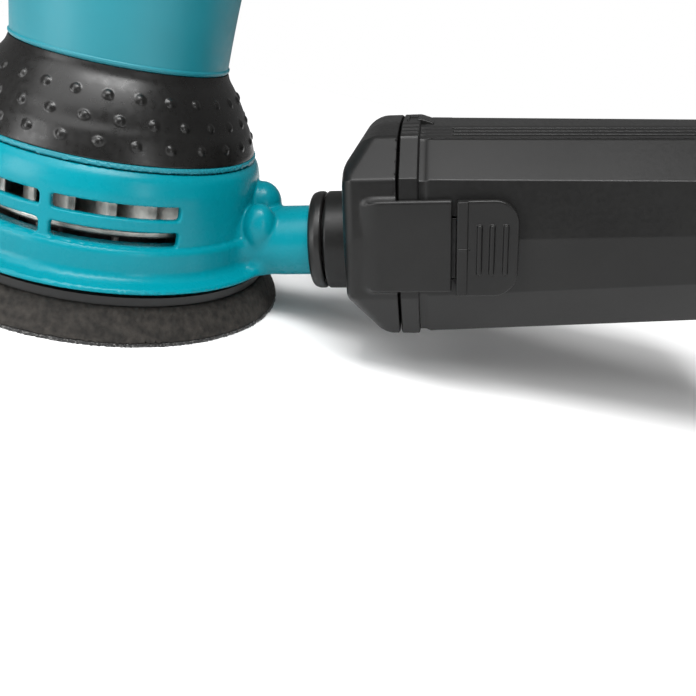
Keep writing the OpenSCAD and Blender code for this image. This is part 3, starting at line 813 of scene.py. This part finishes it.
def head_shell():
    def field(p):
        x, y, z = p.T
        r = np.hypot(x, y)
        body = outline(r, z, [(0, 128.4)] + HEAD_SKIN)
        body = cut(body, outline(r, z, HEAD_ROOM), 0.5)
        fx, fy = four_fold(x, y)
        screw = np.hypot(fx - HEAD_R, fy - HEAD_R)
        body = rmin(body, np.maximum(screw - 4, slab(z, 128.4, 148)), 0.6)
        boss = brick(x, y, z, (-45, -10.5, 128.5), (-37, 10.5, 139.6), 1.4)
        body = rmin(body, boss, 1.5)
        body = cut(body, brick(x, y, z, (-50, -7, 129.6), (-30, 7, 138.4), 0.8), 0.5)
        body = cut(body, screw - 2.1, 0.2)
        body = cut(body, np.maximum(screw - 3.9, 147.2 - z), 0.2)
        body = cut(body, brick(x, y, z, (-9.8, -50, 131.2), (9.8, -34, 136.4), 0.8), 0.6)
        body = cut(body, np.maximum(np.hypot(y, z - 134.5) - 5.05, 30 - x), 0.5)
        a = np.degrees(np.arctan2(np.abs(y), x))
        vent_a = (a - 118 + 4) % 8 - 4
        louvre = plate(np.radians(vent_a) * r, z, (-1, 130.5), (1, 138.5), 0.9)
        louvre = np.maximum(louvre, np.maximum(35 - r, slab(a, 114, 154)))
        return cut(body, louvre, 0.4)

    piece = moulded("head_cover", field, (-47, -45, 127), (45, 45, 151.5), 0.72)
    give(piece, "machine", "dark_plastic", "head_shell")


def palm_grip():
    skin = curve([(43.25, 140.3), (43.6, 142), (42.9, 144.6), (41.2, 147.4), (38.2, 149.8),
                  (33, 151.6), (20, 152.7), (0.01, OVERALL_H)], 10)
    under = [(q[0] + 0.02, q[1] + 0.02) for q in reversed(HEAD_SKIN) if q[1] > 140.2]
    under[0] = (0.01, under[0][1])
    piece = lathe("palm_cover", skin + under + [(42.5, 140.25)], 256)
    give(piece, "machine", "soft_rubber", "palm_grip")


def switch_rocker():
    x0, _, z0 = SWITCH_AXIS
    tilt = math.radians(-7)

    def field(p):
        dx, dz = p[:, 0] - x0, p[:, 2] - z0
        u = dx * math.cos(tilt) - dz * math.sin(tilt)
        w = dx * math.sin(tilt) + dz * math.cos(tilt)
        barrel = rmax(np.hypot(u, w) - 4.1, np.abs(p[:, 1]) - 6.6, 0.5)
        face = brick(u, p[:, 1], w, (-5.4, -6.6, -3), (0, 6.6, 3), 0.6)
        body = rmin(barrel, face, 0.6)
        for side in (-1.2, 0, 1.2):
            body = cut(body, np.maximum(np.abs(w - 1.9 - side * 0.5) - 0.15, u + 5.1), 0.1)
        return body

    piece = moulded("power_rocker", field, (-48, -8, 128), (-35, 8, 140), 0.35)
    give(piece, "switch", "switch_black", "switch_rocker")


def speed_dial():
    low, high = bottom_of("speed_dial"), top_of("speed_dial")
    dial_r = radius_of("speed_dial")

    def field(p):
        x, y, z = p[:, 0], p[:, 1] - DIAL_Y, p[:, 2]
        r = np.hypot(x, y)
        pitch = math.pi / 15
        turn = (np.arctan2(y, x) + pitch / 2) % pitch - pitch / 2
        notch = np.hypot(r * np.cos(turn) - dial_r - 0.25, r * np.sin(turn)) - 0.8
        body = cut(rmax(r - dial_r, slab(z, low, high), 0.5), notch, 0.2)
        return cut(body, r - 2.05, 0.2)

    piece = moulded("speed_wheel", field, (-12, DIAL_Y - 12, 131), (12, DIAL_Y + 12, 137), 0.4)
    give(piece, "dial", "dial_grey", "speed_dial")


def cord_gland():
    place = Matrix.Translation((0, 0, 134.5)) @ Matrix.Rotation(math.pi / 2, 4, "Y")
    profile = rounded([(3.6, 34.8), (5.6, 34.8), (5.6, 36.4), (5.0, 36.4), (5.0, 42.8),
                       (5.6, 42.8), (5.3, 44.2), (5.5, 44.8), (5.2, 46.2), (5.3, 46.8), (5.0, 48),
                       (3.6, 48)], 0.3)
    piece = lathe("cord_sleeve", profile, 96, place=place)
    give(piece, "machine", "black_rubber", "cord_gland")


def brush_caps():
    cap_r = 6.4

    def field(p):
        x, y, z = p[:, 0], np.abs(p[:, 1]), p[:, 2] - BRUSH_Z
        body = rmax(np.hypot(x, z) - cap_r, slab(y, 30.6, 36.6), 0.5)
        return cut(body, brick(x, y, z, (-5, 35.6, -0.7), (5, 40, 0.7), 0.3), 0.25)

    piece = moulded("brush_plugs", field, (-8, -38, 110), (8, 38, 126), 0.5)
    give(piece, "machine", "dark_plastic", "brush_caps")


# ---------- dust box ----------

BOX_HALF = [(9, 38.4), (22, 36.4), (34.4, 26.6), (36.4, 9.3), (34.4, -7.9), (26.4, -22.4)]
BOX_MID = 9.3
GROOVES = (12.0, 15.4, 18.8)
GROOVE_DEPTH = 1.9
BORE_R = NOZZLE_R + 0.07
LATCH_POCKET = ((110.5, 29.9, -2.6), (138, 40, 16.1))
BRIDGE_RECESS = ((BOX_FRONT - 1, 35.9, -7), (120, 40, 22.5))
TAB_RECESS = rounded([(119.5, -6.2), (138.1, -6.2), (138.1, 20.8), (119.5, 20.8)], 7.6, 8)


def planes(half):
    """Each face of a cross-section as a unit normal and its distance, top and bottom included."""
    points = [(0, half[0][1])] + half + [(0, half[-1][1])]
    result = []
    for (y0, z0), (y1, z1) in zip(points, points[1:]):
        length = math.hypot(y1 - y0, z1 - z0)
        normal = ((z0 - z1) / length, (y1 - y0) / length)
        result.append((normal, normal[0] * y0 + normal[1] * z0))
    return result


def strip_height(y):
    (y0, z0), (y1, z1) = BOX_HALF[:2]
    return z0 if y <= y0 else z0 + (z1 - z0) * (y - y0) / (y1 - y0)


def box_outline(shift, groove, ledge, step=0.0):
    """The dust box's outer cross-section from the bottom's middle round to the top's."""
    y_edge, z_edge = BOX_HALF[1]
    side = [(0, BOX_HALF[5][1])] + [BOX_HALF[i] for i in (5, 4, 3, 2)]
    side += [(y_edge + 0.5, z_edge - 0.55), (y_edge - 0.35 * ledge, z_edge - 0.45 * ledge),
             (y_edge - 0.2, z_edge + 0.02)]
    for y in reversed(GROOVES):
        side += [(y + 0.8, strip_height(y + 0.8)), (y + 0.7, strip_height(y) - groove),
                 (y - 0.7, strip_height(y) - groove), (y - 0.8, strip_height(y - 0.8))]
    side += [BOX_HALF[0], (0, BOX_HALF[0][1])]
    result = []
    for y, z in side:
        up = math.copysign(shift, shift * (z - BOX_MID)) if abs(z - BOX_MID) > 4 else 0.0
        lowered = step * min(max((z - 36) / 2.4, 0), 1)
        result.append((max(y - shift, 0) if y else 0.0, z - up - lowered))
    return result


def half_round(side, radius, steps):
    """Rounds an open outline's corners, its ends apart."""
    result = [side[0]]
    for before, here, after in zip(side, side[1:], side[2:]):
        b, h, a = (np.array(q, float) for q in (before, here, after))
        lb, la = np.linalg.norm(b - h), np.linalg.norm(a - h)
        reach = min(radius, lb * 0.42, la * 0.42)
        start, end = h + (b - h) / lb * reach, h + (a - h) / la * reach
        for t in np.linspace(0, 1, steps):
            result.append(tuple((1 - t) ** 2 * start + 2 * t * (1 - t) * h + t ** 2 * end))
    return result + [side[-1]]


def box_cutter():
    """What the box's sides lose: on each, a latch's pocket, its tab's recess and the bridge's."""
    tool = bmesh.new()
    nozzle_metres = NOZZLE_PLACE.copy()
    nozzle_metres.translation = nozzle_metres.translation * MM
    for side in (-1, 1):
        for low, high in (LATCH_POCKET, BRIDGE_RECESS):
            size = [b - a for a, b in zip(low, high)]
            middle = [(a + b) / 2 for a, b in zip(low, high)]
            middle[1] *= side
            scale = Matrix.Diagonal([v * MM for v in size] + [1])
            move = Matrix.Translation([v * MM for v in middle])
            bmesh.ops.create_cube(tool, size=1, matrix=nozzle_metres @ move @ scale)
        rows = [[tool.verts.new(nozzle_metres @ (Vector((x, side * y, z)) * MM))
                 for x, z in TAB_RECESS] for y in (34.2, 40)]
        count = len(TAB_RECESS)
        for i in range(count):
            tool.faces.new([rows[0][i], rows[0][(i + 1) % count], rows[1][(i + 1) % count],
                            rows[1][i]])
        tool.faces.new(rows[0])
        tool.faces.new(rows[1])
    bmesh.ops.recalc_face_normals(tool, faces=tool.faces)
    return tool


def dust_box_shell():
    """A lofted shell: outer sections from the mouth to the closed end, and back inside."""
    length = BOX_END - FLANGE_END
    groove_from, groove_to = 120.0, 224.0
    end_r = 2.4

    def outer(x, extra=0.0):
        shift = max(0.0, (x - FLANGE_END) / length) * BOX_DRAFT + extra
        grooved = GROOVE_DEPTH if groove_from < x < groove_to else 0.0
        ledge, step = (1.0, 0.6) if x > FLANGE_END + 1 else (0.0, 0.0)
        return half_round(box_outline(shift, grooved, ledge, step), 0.4, 4)

    def inner(x):
        shift = max(0.0, (x - FLANGE_END) / length) * BOX_DRAFT + BOX_WALL
        return half_round(box_outline(shift, 0.0, 0.0), 1.1, 4)

    stations = [(BOX_FRONT, outer(BOX_FRONT, 0.1)), (BOX_FRONT + 0.4, outer(BOX_FRONT, -0.5))]
    stations += [(FLANGE_END + past, outer(FLANGE_END, extra)) for past, extra in
                 ((-0.3, -0.5), (0, -0.3), (0.3, 0.5), (1.2, 0.6), (2.2, 0.5))]
    stations += [(x, outer(x)) for x in (FLANGE_END + 3.4, groove_from, groove_from + 0.8,
                                         groove_to - 0.8, groove_to)]
    for a in np.linspace(0, math.pi / 2, 6):
        x = BOX_END - end_r + end_r * math.sin(a)
        stations.append((x, outer(x, end_r * (1 - math.cos(a)))))
    back = [(BOX_END - BOX_WALL, inner(BOX_END - BOX_WALL)), (BOX_FRONT, inner(BOX_FRONT))]
    points, faces = [], []

    def ring_points(x, half):
        whole = half + [(-y, z) for y, z in reversed(half[1:-1])]
        start = len(points)
        points.extend((x, y, z) for y, z in whole)
        return list(range(start, start + len(whole)))

    rings = [ring_points(x, half) for x, half in stations]
    inside = [ring_points(x, half) for x, half in back]
    pairs = list(zip(rings, rings[1:])) + [(inside[0], inside[1]), (inside[1], rings[0])]
    count = len(rings[0])
    for a, b in pairs:
        faces += [(a[i], a[(i + 1) % count], b[(i + 1) % count], b[i]) for i in range(count)]
    faces += [tuple(rings[-1]), tuple(reversed(inside[0]))]
    turn = np.array(NOZZLE_PLACE.to_3x3())
    points = np.array(points) @ turn.T + np.array(NOZZLE_PLACE.translation)
    piece = mesh_of("dust_box", points, faces, 28)
    carve(piece, box_cutter())
    even_shading(piece)
    give(piece, "dust_box", "box_plastic", "dust_box_shell")


def latch_pad(name, side):
    """Extra wall inside the dust box, with the pocket that holds a latch and its spring."""
    taper = BOX_DRAFT / (BOX_END - FLANGE_END)

    def field(p):
        x, y, z = p[:, 0], p[:, 1] * side, p[:, 2]
        pad = brick(x, y, z, (108, 27.6, -8), (141, 34.1, 23), 0.4)
        for (ny, nz), distance in planes(BOX_HALF):
            pad = np.maximum(pad, ny * y + nz * z - distance + 0.8 + taper * (x - FLANGE_END))
        return cut(pad, brick(x, y, z, *LATCH_POCKET, 0.1), 0.2)

    y0, y1 = (26.5, 35.5) if side > 0 else (-35.5, -26.5)
    piece = moulded(name, field, (107, y0, -9), (142, y1, 24), 0.6, NOZZLE_PLACE)
    give(piece, "dust_box", "box_plastic")


def box_catch():
    """The raised catch on top of the box's flange, with its small window."""
    def field(p):
        x, y, z = p.T
        slope = (z - 39.4 + np.maximum(x - 110.6, 0) * 0.35) * 0.9
        body = rmax(brick(x, y, z, (106, -5.5, 37), (114.5, 5.5, 40), 0.7), slope, 0.5)
        return cut(body, brick(x, y, z, (106.9, -6.5, 38.7), (109.3, 1.5, 41), 0.3), 0.2)

    piece = moulded("box_catch", field, (105, -8, 36), (117, 8, 40), 0.4, NOZZLE_PLACE)
    give(piece, "dust_box", "box_plastic")


def dust_cap():
    """A cap of the box's section whose front slopes back at the top and the bottom."""
    cap_front, cap_rear = 88.5, 104.3
    corner_r = 3.5

    def upper_front(x, z):
        return (87.8 + 0.72 * (z - 28.2) - x) / math.hypot(1, 0.72)

    def core(p):
        """The cap's body, open at the rear."""
        x, y, z = p.T
        side = None
        for (ny, nz), distance in planes(BOX_HALF):
            face = ny * np.abs(y) + nz * z - distance - 0.6
            side = face if side is None else rmax(side, face, 0.5)
        lower_front = (88.5 + 0.7 * (-9.2 - z) - x) / math.hypot(1, 0.7)
        front = rmax(rmax(cap_front - x, upper_front(x, z), 1), lower_front, 1)
        return rmax(side, front, corner_r)

    def field(p):
        x, y, z = p.T
        side = np.abs(y)
        r = np.hypot(y, z)
        shell = core(p)
        body = rmax(shell, x - cap_rear, 0.5)
        bridge = rmax(brick(x, side, z, (90.5, 20, -6.2), (120.5, 38.2, 21.7), 1.0),
                      (side - 38.2 + np.maximum(99.5 - x, 0) ** 2 * 0.1) * 0.85, 2.5)
        body = rmin(body, bridge, 1.2)
        body = cut(body, brick(x, side, z, (cap_rear, -5, -30), (140, 36.3, 60), 0.1), 0.3)
        body = cut(body, np.maximum(shell + BOX_WALL, x - cap_rear - 2), 0.4)
        for height in (27.0, 30.4, 33.8):
            louvre = plate(y, z, (-13, height - 1.2), (13, height + 1.2), 0.6)
            body = cut(body, np.maximum(louvre, -1.3 - upper_front(x, z)), 0.25)
        collar = rmax(r - COLLAR_R, slab(x, 79.2, cap_front + 1), 0.7)
        spigot = rmax(r - 13.2, slab(x, 75.6, 106), 0.4)
        body = rmin(body, rmin(collar, spigot, 0.3), 0.9)
        return cut(body, r - BORE_R, 0.3)

    piece = moulded("box_cap", field, (74.5, -40, -26), (121, 40, 42), 0.7, NOZZLE_PLACE)
    give(piece, "dust_cap", "box_plastic", "dust_cap")


def nozzle_seal():
    place = NOZZLE_PLACE @ Matrix.Rotation(math.pi / 2, 4, "Y")
    profile = rounded([(BORE_R, 74), (14.6, 74), (COLLAR_R - 0.6, 74.6), (COLLAR_R, 76.2),
                       (COLLAR_R, 78.0), (COLLAR_R - 0.5, 78.6), (13.2, 78.6), (13.2, 75.6),
                       (BORE_R, 75.6)], 0.5, 5)
    piece = lathe("seal_lip", profile, 160, place=place)
    give(piece, "dust_cap", "black_rubber", "nozzle_seal")


def latch(name, node, body, side):
    ribs = (127.6, 131.1, 134.9)
    core_low, core_high = -2.2, 15.7
    x0, x1 = 121.3, 138.6
    low_z, high_z = -6.6, 21.4
    pivot = (135.6, 32.6)

    def field(p):
        x, y, z = p[:, 0], p[:, 1] * side, p[:, 2]
        tab = plate(x, z, (x0 - 8, low_z), (x1, high_z), 7)
        tab = rmax(np.maximum(tab, x0 - x), slab(y, 36.2, 38.4), 0.7)
        strip = brick(x, y, z, (x0, 37, low_z + 0.3), (x0 + 3.0, 38.8, high_z - 0.3), 0.25)
        tab = rmin(tab, strip, 0.3)
        for rib in ribs:
            ridge = brick(x, y, z, (rib - 0.7, 37.4, 0), (rib + 0.7, 39.2, 14.5), 0.45)
            tab = rmin(tab, ridge, 0.3)
        seam = brick(x, y, z, (x0 + 0.2, 38, 7.25), (x0 + 3.6, 38.95, 7.6), 0.15)
        tab = rmin(tab, seam, 0.1)
        barrel = rmax(np.hypot(x - pivot[0], y - pivot[1]) - 2.3, slab(z, core_low, core_high), 0.3)
        web = brick(x, y, z, (134, 34.4, core_low), (137.2, 37, core_high), 0.3)
        arm = brick(x, y, z, (112, 34.3, core_low), (124, 35.1, core_high), 0.3)
        root = brick(x, y, z, (x0, 34.3, core_low), (124, 37, core_high), 0.3)
        for added in (barrel, web, arm, root):
            tab = rmin(tab, added, 0.4)
        return cut(tab, np.hypot(x - pivot[0], y - pivot[1]) - 1.25, 0.1)

    y0, y1 = (29, 40) if side > 0 else (-40, -29)
    piece = moulded(name, field, (111, y0, -8), (140, y1, 23), 0.4, NOZZLE_PLACE)
    give(piece, body, "box_plastic", node)


# ---------- scene ----------

FLOOR_HALF = 0.6
CAMERA_PLACE = (0.09636, -0.25156, 0.10912)
CAMERA_LENS = 39.98
# The picture's rightward, downward and inward directions, one in each row.
CAMERA_TURN = Matrix(((0.97053, 0.11757, 0.21038), (0.24024, -0.40315, -0.88309),
                      (-0.01901, 0.9076, -0.4195)))


def aim(name, light, place, target):
    holder = bpy.data.objects.new(name, light)
    bpy.context.scene.collection.objects.link(holder)
    holder.location = place
    toward = Vector(target) - Vector(place)
    holder.rotation_euler = toward.to_track_quat("-Z", "Y").to_euler()


def softbox(name, azimuth, elevation, distance, size, radiance):
    """A rectangular lamp seen from the tool at these angles, in degrees and metres."""
    light = bpy.data.lights.new(name, "AREA")
    light.shape = "RECTANGLE"
    light.size, light.size_y = size
    light.energy = radiance * math.pi * size[0] * size[1]
    a, e = math.radians(azimuth), math.radians(elevation)
    centre = (0.05, 0, 0.06)
    place = [c + distance * d for c, d in
             zip(centre, (math.cos(a) * math.cos(e), math.sin(a) * math.cos(e), math.sin(e)))]
    aim(name, light, place, centre)


def stage():
    """A pale floor, soft studio lights and the camera."""
    floor_mesh = bpy.data.meshes.new("floor")
    half = FLOOR_HALF
    floor_mesh.from_pydata([(-half, -half, 0), (half, -half, 0), (half, half, 0), (-half, half, 0)],
                           [], [(0, 1, 2, 3)])
    floor = link("floor", floor_mesh)
    floor_mat = new_material("floor_paint", (0.9, 0.9, 0.9), 0.9, specular=0.1)
    tint(floor_mat, (0.89, 0.89, 0.89), (0.91, 0.91, 0.91), 3)
    floor_mesh.materials.append(floor_mat)

    world = bpy.data.worlds.new("studio")
    bpy.context.scene.world = world
    world.use_nodes = True
    tree = world.node_tree
    light = tree.nodes["Background"]
    light.inputs["Color"].default_value = (1, 1, 1, 1)
    light.inputs["Strength"].default_value = 0.2
    backdrop = tree.nodes.new("ShaderNodeBackground")
    backdrop.inputs["Color"].default_value = (1, 1, 1, 1)
    path = tree.nodes.new("ShaderNodeLightPath")
    mix = tree.nodes.new("ShaderNodeMixShader")
    tree.links.new(path.outputs["Is Camera Ray"], mix.inputs["Fac"])
    tree.links.new(light.outputs[0], mix.inputs[1])
    tree.links.new(backdrop.outputs[0], mix.inputs[2])
    tree.links.new(mix.outputs[0], tree.nodes["World Output"].inputs["Surface"])

    sun = bpy.data.lights.new("sun", "SUN")
    sun.energy = 2.3
    sun.angle = math.radians(60)
    aim("sun", sun, (-0.3, -0.35, 0.9), (0, 0, 0))
    softbox("left_softbox", 225, 8, 0.95, (0.4, 0.6), 7.5)
    softbox("right_softbox", 311, 14, 0.95, (0.13, 0.5), 7)
    softbox("top_softbox", 270, 68, 0.9, (0.6, 0.3), 13)

    camera = bpy.data.cameras.new("camera")
    camera.sensor_width = 36
    camera.lens = CAMERA_LENS
    holder = bpy.data.objects.new("camera", camera)
    bpy.context.scene.collection.objects.link(holder)
    flip = Matrix.Diagonal((1, -1, -1))
    holder.matrix_world = (Matrix.Translation(CAMERA_PLACE)
                           @ (flip @ CAMERA_TURN).transposed().to_4x4())
    bpy.context.scene.camera = holder
    bpy.context.scene.view_settings.view_transform = "Standard"


finish_cad_nodes()
motor_housing()
barrel_rim()
grip_ring()
base_housing()
brake_ring()
foam_pad()
hook_face()
cooling_fan()
head_shell()
palm_grip()
switch_rocker()
speed_dial()
cord_gland()
brush_caps()
dust_box_shell()
latch_pad("left_latch_pad", 1)
latch_pad("right_latch_pad", -1)
box_catch()
dust_cap()
nozzle_seal()
latch("left_thumb_latch", "left_latch", "left_latch", 1)
latch("right_thumb_latch", "right_latch", "right_latch", -1)
stage()
